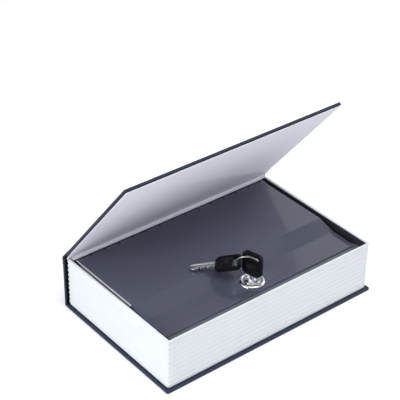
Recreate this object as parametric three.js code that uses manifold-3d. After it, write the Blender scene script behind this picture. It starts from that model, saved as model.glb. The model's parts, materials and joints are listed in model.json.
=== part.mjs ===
// Book-shaped lock box. Cloth-covered boards enclose a ridged page block, which holds a steel tray.
// The tray has a stepped steel lid on a piano hinge, with a keyed cam lock at its lower front.
// Millimetres, +Z up. X runs along the spine, the spine is at +Y and the fore edge at -Y.
// The origin is the middle of the back board's underside. The cover stands open and the lid is closed.

import * as THREE from 'three';
import { mergeVertices } from 'three/addons/utils/BufferGeometryUtils.js';
import Module from 'manifold-3d';

const wasm = await Module();
wasm.setup();

// Clearances and counts shared by the pieces
const fitGap = 0.3;
const glueLine = 0.1;
const cutOverrun = 2;
const weldTolerance = 0.0001;
const cornerSteps = 4;
const roundSteps = 32;
const smallRoundSteps = 16;

// Boards of the case
const boardLength = 240;
const boardWidth = 156;
const boardThickness = 3;
const boardEdgeRadius = 0.5;
const boardCornerRadius = 1.2;
const boardSquare = 3;
const spineHeight = 54;
const paperThickness = 0.4;
const paperMargin = 1.2;

// Front cover and its cloth joint
const coverOpenAngle = THREE.MathUtils.degToRad(51.2);
const coverReach = 154.4;
const jointSetBack = 5.4;
const jointAxisInset = 4;
const jointAxisRise = 1.2;
const jointBeadRadius = 2;
const jointCoreRadius = 0.9;
const jointBeadStartAngle = THREE.MathUtils.degToRad(32);
const jointBeadEndAngle = THREE.MathUtils.degToRad(160);
const coverPaperRise = 0.7;

// Page block
const pageWallThickness = 2.2;
const pageRailDepth = 2.7;
const pageCornerRadius = 1.2;
const gatheringCount = 10;
const gatheringGrooveDepth = 0.5;
const gatheringGrooveHeight = 0.7;

// Steel tray
const sheet = 1;
const trayRearGap = 1.3;
const trayRearDrop = 2;
const traySideDrop = 0.6;

// Lid
const lidSideGap = 2.3;
const lidSinkBelowRim = 1.6;
const lidStep = 5;
const lidFrontSetBack = 11.6;
const lidLowDepth = 25.9;
const lidSlopeRun = 20.4;
const lidLipOverlap = 1.7;
const lidSkirtDepth = 5;
const lidSkirtEndGap = 1.5;
const lidSkirtRearGap = 5;
const lidCornerRadius = 3;
const creaseRun = 2;

// Piano hinge
const knuckleCount = 14;
const hingeEndInset = 2.7;
const knuckleGap = 0.4;
const knuckleRadius = 1.7;
const pinRadius = 0.7;
const leafThickness = 0.8;
const lidLeafDepth = 12;
const trayLeafDepth = 10;
const leafEndGap = 0.7;

// Cam lock
const lockX = -1.5;
const lockSetBack = 14.1;
const bezelRadius = 12;
const bezelHeight = 1.9;
const bezelRim = 0.8;
const bezelLandRadius = 8.6;
const bezelRecess = 0.9;
const lockBodyRadius = 9.4;
const plugRadius = 6.2;
const plugProud = 0.3;
const plugFloorThickness = 2;
const plugNeckRadius = 3;
const plugNeckLength = 2.6;
const washerThickness = 0.8;
const washerRadius = 11.6;
const nutThickness = 3;
const nutAcrossFlats = 22;
const hexSides = 6;
const camThickness = 2;
const camWidth = 10;
const camReach = 21.5;
const screwHeadRadius = 4.6;
const screwHeadHeight = 1.6;
const screwShankRadius = 1.5;
const screwShankLength = 3.6;
const screwSlotWidth = 1.2;
const screwSlotDepth = 0.8;

// Strike that the cam turns under
const strikeWidth = 30;
const strikeDepth = 8.5;
const strikeTopGap = 1.8;
const strikeThickness = 1.2;
const strikeClearance = 1.4;

// Keys
const keyPlaneAngle = THREE.MathUtils.degToRad(-75);
const bowWidth = 20;
const bowHeight = 23.5;
const bowThickness = 3.6;
const bowCornerRadius = 4.5;
const bowShoulderCut = 6;
const bowBevel = 0.5;
const bowSlotLength = 14.5;
const bowSlotHeight = 4.6;
const bowSlotCentre = 18.2;
const bowSlotRadius = 1.5;
const bowPanelWidth = 13;
const bowPanelHeight = 8.5;
const bowPanelCentre = 9.5;
const bowPanelDepth = 0.5;
const bladeWidth = 8;
const bladeLength = 24;
const bladeThickness = 2.2;
const bladeTang = 5;
const bladeTangWidth = 6;
const bladeGrooveWidth = 1.4;
const bladeGrooveDepth = 0.5;
const shoulderAboveLock = 4.6;
const bladeNotchShares = [0.16, 0.3, 0.44, 0.58, 0.72];
const bladeNotchDepthShares = [0.24, 0.12, 0.3, 0.18, 0.26];
const bladeNotchHalfWidthShare = 0.055;
const bladeTipShare = 0.14;
const bladeTipHalfWidthShare = 0.16;

// Split ring through both bows, and where the spare key's tip rests
const ringWireRadius = 0.65;
const ringSteps = 48;
const ringWireSides = 8;
const ringHoleOffset = -1.99;
const ringOutsideOffset = -14.57;
const ringOutsideRise = 1.82;
const spareHoleX = -7.83;
const spareHoleY = 13.96;
const spareHoleZ = 9.24;
const spareTipX = -36.87;
const spareTipY = 42.88;
const spareTipZ = -0.65;

// Sizes that follow from the ones above
const foreEdge = -boardWidth / 2;
const spineOuter = boardWidth / 2;
const spineInner = spineOuter - boardThickness;
const blockLength = boardLength - boardSquare - boardSquare;
const blockFront = foreEdge + boardSquare;
const blockRear = spineInner - fitGap;
const blockBottom = boardThickness + glueLine + paperThickness + glueLine;
const blockTop = spineHeight;
const railFront = blockRear - pageRailDepth;
const trayLength = blockLength - 2 * (pageWallThickness + fitGap);
const trayFront = blockFront + pageWallThickness + fitGap;
const trayRear = railFront - trayRearGap;
const trayBottom = boardThickness + glueLine + paperThickness + fitGap;
const lidLength = trayLength - 2 * (sheet + lidSideGap);
const lidTop = blockTop - lidSinkBelowRim;
const lidUnder = lidTop - sheet;
const lidLowTop = lidTop - lidStep;
const lidLowUnder = lidLowTop - sheet;
const lidFrontEdge = trayFront + lidFrontSetBack;
const lidSlopeFront = lidFrontEdge + lidLowDepth;
const lidSlopeRear = lidSlopeFront + lidSlopeRun;
const lipTop = lidLowUnder - fitGap;
const lipDepth = lidFrontEdge + lidLipOverlap - (trayFront + sheet);
const hingeY = trayRear - sheet - fitGap - knuckleRadius;
const hingeZ = lidTop - knuckleRadius;
const hingeLength = lidLength - 2 * hingeEndInset;
const knucklePitch = hingeLength / knuckleCount;
const boreRadius = pinRadius + fitGap;
const lidRearEdge = hingeY - knuckleRadius - knuckleGap;
const lockY = lidFrontEdge + lockSetBack;
const lockFace = lidLowTop + fitGap + bezelHeight;
const plugTop = lockFace + plugProud;
const keyShoulder = plugTop + shoulderAboveLock;
const keywayBottom = keyShoulder - bladeLength - fitGap;
const lockBodyBottom = keywayBottom - plugFloorThickness;
const camTop = lockBodyBottom - fitGap;
const jointAxisY = spineOuter - jointAxisInset;
const jointAxisZ = spineHeight + jointAxisRise;

// Solids from geometries, and geometries from solids

function solid(geometry) {
  const bare = geometry.clone();
  bare.deleteAttribute('normal');
  bare.deleteAttribute('uv');
  const merged = mergeVertices(bare, weldTolerance);
  return new wasm.Manifold(new wasm.Mesh({
    numProp: 3,
    vertProperties: new Float32Array(merged.attributes.position.array),
    triVerts: new Uint32Array(merged.index.array),
  }));
}

function geometryOf(body) {
  const mesh = body.getMesh();
  const geometry = new THREE.BufferGeometry();
  geometry.setAttribute('position', new THREE.BufferAttribute(new Float32Array(mesh.vertProperties), mesh.numProp));
  geometry.setIndex(new THREE.BufferAttribute(new Uint32Array(mesh.triVerts), 1));
  geometry.computeVertexNormals();
  return geometry;
}

function box(lowX, highX, lowY, highY, lowZ, highZ) {
  const geometry = new THREE.BoxGeometry(highX - lowX, highY - lowY, highZ - lowZ);
  geometry.translate((lowX + highX) / 2, (lowY + highY) / 2, (lowZ + highZ) / 2);
  return solid(geometry);
}

function plate(length, lowY, highY, lowZ, highZ) {
  return box(-length / 2, length / 2, lowY, highY, lowZ, highZ);
}

// A cylinder along X, centred on x
function rodAlongX(radius, length, x, y, z, steps) {
  const geometry = new THREE.CylinderGeometry(radius, radius, length, steps);
  geometry.rotateZ(Math.PI / 2);
  geometry.translate(x, y, z);
  return solid(geometry);
}

// A cylinder along Z on the lock's axis
function discAtLock(radius, lowZ, highZ, steps) {
  const geometry = new THREE.CylinderGeometry(radius, radius, highZ - lowZ, steps);
  geometry.rotateX(Math.PI / 2);
  geometry.translate(lockX, lockY, (lowZ + highZ) / 2);
  return solid(geometry);
}

function roundedRectangle(width, height, radius) {
  const shape = new THREE.Shape();
  const right = width / 2;
  const top = height / 2;
  shape.moveTo(-right + radius, -top);
  shape.lineTo(right - radius, -top);
  shape.absarc(right - radius, -top + radius, radius, -Math.PI / 2, 0);
  shape.lineTo(right, top - radius);
  shape.absarc(right - radius, top - radius, radius, 0, Math.PI / 2);
  shape.lineTo(-right + radius, top);
  shape.absarc(-right + radius, top - radius, radius, Math.PI / 2, Math.PI);
  shape.lineTo(-right, -top + radius);
  shape.absarc(-right + radius, -top + radius, radius, Math.PI, Math.PI * 3 / 2);
  return shape;
}

// A straight extrusion that stands on z = 0, with its edges eased by a bevel
function easedExtrusion(shape, thickness, bevel) {
  const geometry = new THREE.ExtrudeGeometry(shape, {
    depth: thickness - 2 * bevel,
    bevelEnabled: true,
    bevelThickness: bevel,
    bevelSize: bevel,
    bevelOffset: -bevel,
    bevelSegments: 1,
    curveSegments: cornerSteps,
  });
  geometry.translate(0, 0, bevel);
  return geometry;
}

function plainExtrusion(shape, depth) {
  return new THREE.ExtrudeGeometry(shape, { depth, bevelEnabled: false, curveSegments: cornerSteps });
}

// A section drawn in (y, z) and extruded along X between two ends
function extrudeAlongX(shape, lowX, highX) {
  const geometry = plainExtrusion(shape, highX - lowX);
  const axes = new THREE.Matrix4().makeBasis(
    new THREE.Vector3(0, 1, 0),
    new THREE.Vector3(0, 0, 1),
    new THREE.Vector3(1, 0, 0),
  );
  geometry.applyMatrix4(axes);
  geometry.translate(lowX, 0, 0);
  return geometry;
}

// A turned ring or disc on the lock's axis, from a closed profile of (radius, z) pairs
function turnedAtLock(profile, steps) {
  const points = profile.map(([radius, z]) => new THREE.Vector2(radius, z));
  const geometry = new THREE.LatheGeometry([...points, points[0].clone()], steps);
  geometry.rotateX(Math.PI / 2);
  geometry.translate(lockX, lockY, 0);
  return geometry;
}

// Case: boards and papers

function coverBoard(width) {
  return easedExtrusion(roundedRectangle(boardLength, width, boardCornerRadius), boardThickness, boardEdgeRadius);
}

function makeBackBoard() {
  const geometry = coverBoard(blockRear - foreEdge);
  geometry.translate(0, (blockRear + foreEdge) / 2, 0);
  return geometry;
}

function makeSpineBoard() {
  const geometry = coverBoard(spineHeight);
  geometry.rotateX(Math.PI / 2);
  geometry.translate(0, spineOuter, spineHeight / 2);
  return geometry;
}

function makeBackPaper() {
  const low = boardThickness + glueLine;
  return geometryOf(plate(blockLength - boardSquare, blockFront + boardSquare, blockRear, low, low + paperThickness));
}

// The front board and its paper are drawn closed, with the joint's axis at their origin
function makeFrontBoard() {
  const geometry = coverBoard(coverReach - jointSetBack);
  const lift = paperThickness + fitGap - coverPaperRise;
  geometry.translate(0, -(coverReach + jointSetBack) / 2, lift);
  return geometry;
}

function makeFrontPaper() {
  const nearJoint = jointBeadRadius + glueLine + glueLine;
  const shape = roundedRectangle(boardLength - 2 * paperMargin, coverReach - paperMargin - nearJoint, boardCornerRadius);
  const geometry = plainExtrusion(shape, paperThickness);
  geometry.translate(0, -(coverReach - paperMargin + nearJoint) / 2, -coverPaperRise);
  return geometry;
}

// The cloth joint is a bead round the axis, cut back underneath so that it can turn above the rail
function makeJointCloth() {
  const shape = new THREE.Shape();
  shape.absarc(0, 0, jointBeadRadius, jointBeadStartAngle, jointBeadEndAngle);
  shape.absarc(0, 0, jointCoreRadius, jointBeadEndAngle, jointBeadStartAngle + 2 * Math.PI);
  const end = boardLength / 2 - boardCornerRadius;
  return extrudeAlongX(shape, -end, end);
}

// Page block: four walls in one moulding, with a groove between each two gatherings

function makePageBlock() {
  const depth = blockRear - blockFront;
  const middle = (blockRear + blockFront) / 2;
  const outline = plainExtrusion(roundedRectangle(blockLength, depth, pageCornerRadius), blockTop - blockBottom);
  outline.translate(0, middle, blockBottom);
  const well = plate(
    blockLength - 2 * pageWallThickness,
    blockFront + pageWallThickness,
    railFront,
    blockBottom - cutOverrun,
    blockTop + cutOverrun,
  );
  let block = solid(outline).subtract(well);
  const pitch = (blockTop - blockBottom) / gatheringCount;
  for (let index = 1; index < gatheringCount; index += 1) {
    block = block.subtract(grooveRing(depth, middle, blockBottom + index * pitch));
  }
  return geometryOf(block);
}

function grooveRing(depth, middle, height) {
  const inset = 2 * gatheringGrooveDepth;
  const shape = roundedRectangle(blockLength + cutOverrun, depth + cutOverrun, pageCornerRadius);
  shape.holes.push(roundedRectangle(blockLength - inset, depth - inset, pageCornerRadius - gatheringGrooveDepth));
  const geometry = plainExtrusion(shape, gatheringGrooveHeight);
  geometry.translate(0, middle, height - gatheringGrooveHeight / 2);
  return solid(geometry);
}

// Steel tray: folded sheet with an inward lip along the front

function makeTray() {
  const outer = trayLength / 2;
  const inner = outer - sheet;
  const floor = plate(trayLength, trayFront, trayRear, trayBottom, trayBottom + sheet);
  const rearWall = plate(trayLength, trayRear - sheet, trayRear, trayBottom, blockTop - trayRearDrop);
  const frontWall = plate(trayLength, trayFront, trayFront + sheet, trayBottom, lipTop);
  const lip = plate(trayLength, trayFront, trayFront + sheet + lipDepth, lipTop - sheet, lipTop);
  const sideTop = blockTop - traySideDrop;
  const leftWall = box(-outer, -inner, trayFront, trayRear, trayBottom, sideTop);
  const rightWall = box(inner, outer, trayFront, trayRear, trayBottom, sideTop);
  return geometryOf(floor.add(rearWall).add(frontWall).add(lip).add(leftWall).add(rightWall));
}

function makeStrike() {
  const rear = trayFront + sheet + fitGap;
  const low = camTop + strikeClearance;
  const left = lockX - strikeWidth / 2;
  const right = lockX + strikeWidth / 2;
  const back = box(left, right, rear, rear + strikeThickness, low, lipTop - sheet - strikeTopGap);
  const ledge = box(left, right, rear, rear + strikeDepth, low, low + strikeThickness);
  return geometryOf(back.add(ledge));
}

// Piano hinge

function knuckle(index) {
  const x = (index - (knuckleCount - 1) / 2) * knucklePitch;
  return { x, half: (knucklePitch - knuckleGap) / 2 };
}

function leafWithKnuckles(leaf, first, web) {
  let body = leaf;
  for (let index = first; index < knuckleCount; index += 2) {
    const { x, half } = knuckle(index);
    body = body.add(rodAlongX(knuckleRadius, 2 * half, x, hingeY, hingeZ, smallRoundSteps));
    body = body.add(web(x - half, x + half));
  }
  return geometryOf(body.subtract(rodAlongX(boreRadius, hingeLength + cutOverrun, 0, hingeY, hingeZ, smallRoundSteps)));
}

function makeTrayLeaf() {
  const rear = hingeY + knuckleRadius;
  const front = rear - leafThickness;
  const top = hingeZ - knuckleRadius - fitGap - fitGap;
  const leaf = plate(hingeLength - leafEndGap, front, rear, top - trayLeafDepth, top);
  return leafWithKnuckles(leaf, 0, (low, high) => box(low, high, front, rear, top - leafThickness, hingeZ));
}

function makeLidLeaf() {
  const top = lidUnder - fitGap;
  const low = top - leafThickness;
  const rear = hingeY - knuckleRadius - knuckleGap;
  const leaf = plate(hingeLength - leafEndGap, rear - lidLeafDepth, rear, low, top);
  return leafWithKnuckles(leaf, 1, (left, right) => box(left, right, rear - leafThickness, hingeY, low, top));
}

function makeHingePin() {
  return geometryOf(rodAlongX(pinRadius, hingeLength, 0, hingeY, hingeZ, smallRoundSteps));
}

// Lid: one sheet with two creases, so that the lock sits below the rim, and a turned-down skirt at each end

function lidLine(rear, front) {
  const line = new THREE.Path();
  line.moveTo(rear, lidTop);
  line.lineTo(lidSlopeRear + creaseRun, lidTop);
  const rise = lidStep * creaseRun / (lidSlopeRear - lidSlopeFront);
  line.quadraticCurveTo(lidSlopeRear, lidTop, lidSlopeRear - creaseRun, lidTop - rise);
  line.lineTo(lidSlopeFront + creaseRun, lidLowTop + rise);
  line.quadraticCurveTo(lidSlopeFront, lidLowTop, lidSlopeFront - creaseRun, lidLowTop);
  line.lineTo(front, lidLowTop);
  return line.getPoints(cornerSteps);
}

function bandBelow(points, start, end) {
  const upper = points.map((point) => new THREE.Vector2(point.x, point.y - start));
  const lower = points.map((point) => new THREE.Vector2(point.x, point.y - end));
  return new THREE.Shape([...upper, ...lower.reverse()]);
}

function makeLid() {
  const half = lidLength / 2;
  const panel = solid(extrudeAlongX(bandBelow(lidLine(lidRearEdge, lidFrontEdge), 0, sheet), -half, half));
  const corners = roundedRectangle(lidLength, 2 * (lidRearEdge - lidFrontEdge), lidCornerRadius);
  const trim = plainExtrusion(corners, lidTop + cutOverrun);
  trim.translate(0, lidRearEdge, 0);
  const skirtFront = lidFrontEdge + lidLipOverlap + lidSkirtEndGap;
  const skirtLine = lidLine(lidRearEdge - lidSkirtRearGap, skirtFront);
  const skirt = bandBelow(skirtLine, sheet / 2, lidSkirtDepth);
  const left = solid(extrudeAlongX(skirt, -half, -half + sheet));
  const right = solid(extrudeAlongX(skirt, half - sheet, half));
  const hole = discAtLock(lockBodyRadius + fitGap, lidLowUnder - cutOverrun, lidLowTop + cutOverrun, roundSteps);
  return geometryOf(panel.intersect(solid(trim)).add(left).add(right).subtract(hole));
}

// Cam lock

function makeLockHousing() {
  const seat = lidLowTop + fitGap;
  const bore = plugRadius + fitGap;
  return turnedAtLock([
    [bore, lockBodyBottom],
    [lockBodyRadius, lockBodyBottom],
    [lockBodyRadius, seat],
    [bezelRadius, seat],
    [bezelRadius, seat + bezelRim],
    [bezelRadius - bezelRim, lockFace - bezelRim],
    [bezelLandRadius, lockFace],
    [bezelLandRadius - bezelRim, lockFace],
    [bezelLandRadius - bezelRim, lockFace - bezelRecess],
    [bore, lockFace - bezelRecess],
  ], roundSteps);
}

function makeWasher() {
  const top = lidLowUnder - fitGap;
  const inner = lockBodyRadius + fitGap;
  return turnedAtLock([
    [inner, top - washerThickness],
    [washerRadius, top - washerThickness],
    [washerRadius, top],
    [inner, top],
  ], roundSteps);
}

function makeNut() {
  const top = lidLowUnder - fitGap - washerThickness - fitGap;
  const cornerRadius = nutAcrossFlats / 2 / Math.cos(Math.PI / hexSides);
  const geometry = new THREE.CylinderGeometry(cornerRadius, cornerRadius, nutThickness, hexSides);
  geometry.rotateX(Math.PI / 2);
  geometry.rotateZ(Math.PI / hexSides);
  geometry.translate(lockX, lockY, top - nutThickness / 2);
  const hole = discAtLock(lockBodyRadius + fitGap, top - nutThickness - cutOverrun, top + cutOverrun, roundSteps);
  return geometryOf(solid(geometry).subtract(hole));
}

function makePlug() {
  const barrel = discAtLock(plugRadius, lockBodyBottom, plugTop, roundSteps);
  const neck = discAtLock(plugNeckRadius, lockBodyBottom - plugNeckLength, lockBodyBottom, smallRoundSteps);
  const slotHalf = bladeWidth / 2 + fitGap;
  const slot = new THREE.BoxGeometry(2 * slotHalf, bladeThickness + 2 * fitGap, plugTop + cutOverrun - keywayBottom);
  slot.rotateZ(keyPlaneAngle);
  slot.translate(lockX, lockY, (plugTop + cutOverrun + keywayBottom) / 2);
  const tapLow = lockBodyBottom - plugNeckLength - cutOverrun;
  const tap = discAtLock(screwShankRadius + fitGap, tapLow, screwTop() + screwShankLength + fitGap, smallRoundSteps);
  return geometryOf(barrel.add(neck).subtract(solid(slot)).subtract(tap));
}

function screwTop() {
  return camTop - camThickness - fitGap;
}

// The cam points along +X when the lid is free, and a quarter turn brings it under the strike
function makeCam() {
  const shape = new THREE.Shape();
  const half = camWidth / 2;
  shape.moveTo(0, -half);
  shape.lineTo(camReach - half, -half);
  shape.lineTo(camReach, -half + sheet);
  shape.lineTo(camReach, half - sheet);
  shape.lineTo(camReach - half, half);
  shape.lineTo(0, half);
  shape.absarc(0, 0, half, Math.PI / 2, Math.PI * 3 / 2);
  const hole = new THREE.Path();
  hole.absarc(0, 0, plugNeckRadius + fitGap, 0, 2 * Math.PI);
  shape.holes.push(hole);
  const geometry = new THREE.ExtrudeGeometry(shape, {
    depth: camThickness,
    bevelEnabled: false,
    curveSegments: smallRoundSteps,
  });
  geometry.translate(lockX, lockY, camTop - camThickness);
  return geometry;
}

function makeCamScrew() {
  const top = screwTop();
  const head = discAtLock(screwHeadRadius, top - screwHeadHeight, top, smallRoundSteps);
  const shank = discAtLock(screwShankRadius, top, top + screwShankLength, smallRoundSteps);
  const slot = box(
    lockX - screwHeadRadius - cutOverrun,
    lockX + screwHeadRadius + cutOverrun,
    lockY - screwSlotWidth / 2,
    lockY + screwSlotWidth / 2,
    top - screwHeadHeight - cutOverrun,
    top - screwHeadHeight + screwSlotDepth,
  );
  return geometryOf(head.add(shank).subtract(slot));
}

// Keys are drawn with the shoulder at the origin, the bow along +Z and the blade along -Z, flat in the XZ plane

function uprightPlate(shape, thickness, bevel) {
  const geometry = bevel > 0 ? easedExtrusion(shape, thickness, bevel) : plainExtrusion(shape, thickness);
  geometry.translate(0, 0, -thickness / 2);
  geometry.rotateX(Math.PI / 2);
  return geometry;
}

function makeBow() {
  const half = bowWidth / 2;
  const shape = new THREE.Shape();
  shape.moveTo(-half + bowShoulderCut, 0);
  shape.lineTo(half - bowShoulderCut, 0);
  shape.lineTo(half, bowShoulderCut);
  shape.lineTo(half, bowHeight - bowCornerRadius);
  shape.absarc(half - bowCornerRadius, bowHeight - bowCornerRadius, bowCornerRadius, 0, Math.PI / 2);
  shape.lineTo(-half + bowCornerRadius, bowHeight);
  shape.absarc(-half + bowCornerRadius, bowHeight - bowCornerRadius, bowCornerRadius, Math.PI / 2, Math.PI);
  shape.lineTo(-half, bowShoulderCut);
  const body = solid(uprightPlate(shape, bowThickness, bowBevel));
  const slot = uprightPlate(roundedRectangle(bowSlotLength, bowSlotHeight, bowSlotRadius), bowThickness + cutOverrun, 0);
  slot.translate(0, 0, bowSlotCentre);
  const panelDepth = cutOverrun + bowPanelDepth;
  const panelOffset = (bowThickness + panelDepth) / 2 - bowPanelDepth;
  const panel = new THREE.BoxGeometry(bowPanelWidth, panelDepth, bowPanelHeight);
  panel.translate(0, panelOffset, bowPanelCentre);
  const otherPanel = panel.clone();
  otherPanel.translate(0, -2 * panelOffset, 0);
  const pocket = new THREE.BoxGeometry(
    bladeTangWidth + 2 * fitGap,
    bladeThickness - 2 * bladeGrooveDepth + 2 * fitGap,
    2 * (bladeTang + fitGap),
  );
  return geometryOf(body.subtract(solid(slot)).subtract(solid(panel)).subtract(solid(otherPanel)).subtract(solid(pocket)));
}

function makeBlade() {
  const half = bladeWidth / 2;
  const shape = new THREE.Shape();
  shape.moveTo(-half, -fitGap);
  shape.lineTo(-half, -bladeLength * (1 - bladeTipShare));
  shape.lineTo(-bladeWidth * bladeTipHalfWidthShare, -bladeLength);
  shape.lineTo(bladeWidth * bladeTipHalfWidthShare, -bladeLength);
  shape.lineTo(half, -bladeLength * (1 - bladeTipShare));
  bladeNotchShares.slice().reverse().forEach((share, index) => {
    const depth = bladeWidth * bladeNotchDepthShares[bladeNotchShares.length - 1 - index];
    const along = bladeLength * (1 - bladeTipShare) * share;
    const spread = bladeLength * bladeNotchHalfWidthShare;
    shape.lineTo(half, -along - spread);
    shape.lineTo(half - depth, -along);
    shape.lineTo(half, -along + spread);
  });
  shape.lineTo(half, -fitGap);
  const flat = solid(uprightPlate(shape, bladeThickness, 0));
  const tangThickness = bladeThickness - 2 * bladeGrooveDepth;
  const tang = new THREE.BoxGeometry(bladeTangWidth, tangThickness, bladeTang + bladeWidth);
  tang.translate(0, 0, (bladeTang - bladeWidth) / 2);
  const grooveDepth = bladeGrooveDepth + cutOverrun;
  const grooveOffset = (bladeThickness + grooveDepth) / 2 - bladeGrooveDepth;
  const groove = new THREE.BoxGeometry(bladeGrooveWidth, grooveDepth, bladeLength + bladeLength - bladeWidth);
  groove.translate(-bladeGrooveWidth, grooveOffset, -bladeLength);
  const otherGroove = groove.clone();
  otherGroove.translate(bladeGrooveWidth, -2 * grooveOffset, 0);
  return geometryOf(flat.add(solid(tang)).subtract(solid(groove)).subtract(solid(otherGroove)));
}

// Where the keys and the ring lie, worked out from the lock

const keyAlong = new THREE.Vector3(Math.cos(keyPlaneAngle), Math.sin(keyPlaneAngle), 0);
const up = new THREE.Vector3(0, 0, 1);
const lockPoint = new THREE.Vector3(lockX, lockY, 0);

function pointInKeyPlane(offset, height) {
  return lockPoint.clone().addScaledVector(keyAlong, offset).addScaledVector(up, height);
}

function fromShoulderToBow(tip, hole) {
  const axis = hole.clone().sub(tip).normalize();
  const side = new THREE.Vector3().crossVectors(up, axis).normalize();
  const face = new THREE.Vector3().crossVectors(axis, side);
  const shoulder = hole.clone().addScaledVector(axis, -bowSlotCentre);
  return new THREE.Matrix4().makeBasis(side, face, axis).setPosition(shoulder);
}

function circleThrough(first, second, third) {
  const a = second.clone().sub(first);
  const b = third.clone().sub(first);
  const normal = new THREE.Vector3().crossVectors(a, b);
  const towards = new THREE.Vector3().crossVectors(normal, a).multiplyScalar(b.lengthSq());
  towards.add(new THREE.Vector3().crossVectors(b, normal).multiplyScalar(a.lengthSq()));
  towards.divideScalar(2 * normal.lengthSq());
  return { centre: first.clone().add(towards), radius: towards.length(), normal: normal.normalize() };
}

const ringHole = pointInKeyPlane(ringHoleOffset, keyShoulder + bowSlotCentre);
const ringOutside = pointInKeyPlane(ringOutsideOffset, keyShoulder + ringOutsideRise);
const keyBase = lockPoint.clone().addScaledVector(up, keyShoulder);
const spareHolePoint = keyBase.clone().add(new THREE.Vector3(spareHoleX, spareHoleY, spareHoleZ));
const spareTipPoint = keyBase.clone().add(new THREE.Vector3(spareTipX, spareTipY, spareTipZ));
const ringCircle = circleThrough(ringHole, ringOutside, spareHolePoint);

// The assembly

function material(colour, roughness, metalness) {
  return new THREE.MeshStandardMaterial({ color: new THREE.Color(colour), roughness, metalness });
}

const navyCloth = () => material('#0b1a30', 0.75, 0);
const whitePages = () => material('#eef0f4', 0.6, 0);
const palePaper = () => material('#c2c4d2', 0.7, 0);
const powderCoat = () => material('#33353d', 0.45, 0.3);
const zincSteel = () => material('#8e9096', 0.4, 0.9);
const chromePlate = () => material('#d4d6da', 0.12, 1);
const blackPlastic = () => material('#0c0c0f', 0.4, 0);

function add(group, name, geometry, finish) {
  const mesh = new THREE.Mesh(geometry, finish);
  mesh.name = name;
  group.add(mesh);
  return mesh;
}

const book = new THREE.Group();
add(book, 'back_board', makeBackBoard(), navyCloth());
add(book, 'spine_board', makeSpineBoard(), navyCloth());
add(book, 'back_endpaper', makeBackPaper(), palePaper());
add(book, 'page_block', makePageBlock(), whitePages());
add(book, 'steel_tray', makeTray(), powderCoat());
add(book, 'lock_strike', makeStrike(), powderCoat());
add(book, 'tray_hinge_leaf', makeTrayLeaf(), powderCoat());
add(book, 'hinge_pin', makeHingePin(), zincSteel());

const lid = new THREE.Group();
add(lid, 'lid_panel', makeLid(), powderCoat());
add(lid, 'lid_hinge_leaf', makeLidLeaf(), powderCoat());
add(lid, 'lock_housing', makeLockHousing(), chromePlate());
add(lid, 'lock_washer', makeWasher(), zincSteel());
add(lid, 'lock_nut', makeNut(), zincSteel());
add(lid, 'lock_plug', makePlug(), chromePlate());
add(lid, 'lock_cam', makeCam(), zincSteel());
add(lid, 'cam_screw', makeCamScrew(), zincSteel());
book.add(lid);

const key = new THREE.Group();
key.position.copy(keyBase);
key.rotation.z = keyPlaneAngle;
add(key, 'key_bow', makeBow(), blackPlastic());
add(key, 'key_blade', makeBlade(), zincSteel());
book.add(key);

const spareKey = new THREE.Group();
spareKey.applyMatrix4(fromShoulderToBow(spareTipPoint, spareHolePoint));
add(spareKey, 'spare_key_bow', makeBow(), blackPlastic());
add(spareKey, 'spare_key_blade', makeBlade(), zincSteel());
book.add(spareKey);

const ringGeometry = new THREE.TorusGeometry(ringCircle.radius, ringWireRadius, ringWireSides, ringSteps);
const ring = add(book, 'split_ring', ringGeometry, chromePlate());
ring.position.copy(ringCircle.centre);
ring.quaternion.setFromUnitVectors(up, ringCircle.normal);

const jointCloth = add(book, 'joint_cloth', makeJointCloth(), navyCloth());
jointCloth.position.set(0, jointAxisY, jointAxisZ);

const cover = new THREE.Group();
cover.position.set(0, jointAxisY, jointAxisZ);
cover.rotation.x = -coverOpenAngle;
add(cover, 'front_board', makeFrontBoard(), navyCloth());
add(cover, 'front_endpaper', makeFrontPaper(), palePaper());
book.add(cover);

export default book;
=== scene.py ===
import json
import math
import bpy
import bmesh
from mathutils import Matrix, Vector


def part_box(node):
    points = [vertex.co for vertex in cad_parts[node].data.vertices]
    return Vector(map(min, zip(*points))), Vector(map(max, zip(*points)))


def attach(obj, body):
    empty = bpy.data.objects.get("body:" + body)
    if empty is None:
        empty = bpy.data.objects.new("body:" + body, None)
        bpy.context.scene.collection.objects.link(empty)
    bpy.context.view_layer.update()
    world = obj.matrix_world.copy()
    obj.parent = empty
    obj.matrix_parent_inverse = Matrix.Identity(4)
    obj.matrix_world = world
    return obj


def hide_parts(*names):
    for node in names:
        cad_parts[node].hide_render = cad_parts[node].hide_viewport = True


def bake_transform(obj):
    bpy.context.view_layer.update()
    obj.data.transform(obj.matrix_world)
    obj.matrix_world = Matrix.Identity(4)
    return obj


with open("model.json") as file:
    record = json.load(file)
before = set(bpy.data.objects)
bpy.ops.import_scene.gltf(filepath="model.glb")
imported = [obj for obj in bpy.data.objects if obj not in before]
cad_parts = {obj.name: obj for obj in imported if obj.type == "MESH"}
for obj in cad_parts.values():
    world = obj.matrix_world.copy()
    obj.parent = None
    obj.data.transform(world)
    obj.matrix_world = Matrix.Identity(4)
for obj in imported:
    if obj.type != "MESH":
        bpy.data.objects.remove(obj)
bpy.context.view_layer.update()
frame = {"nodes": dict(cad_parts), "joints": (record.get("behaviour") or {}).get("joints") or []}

NODES = frame["nodes"]
JOINTS = {joint["name"]: joint for joint in frame["joints"]}
MM = 0.001


# Measures from the CAD, in mm
def corners(node):
    """The lowest and the highest corner of a CAD node."""
    low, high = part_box(node)
    return low / MM, high / MM


def joint_place(name):
    """Where a joint stands."""
    return Vector(JOINTS[name]["pos_m"]) / MM


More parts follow.
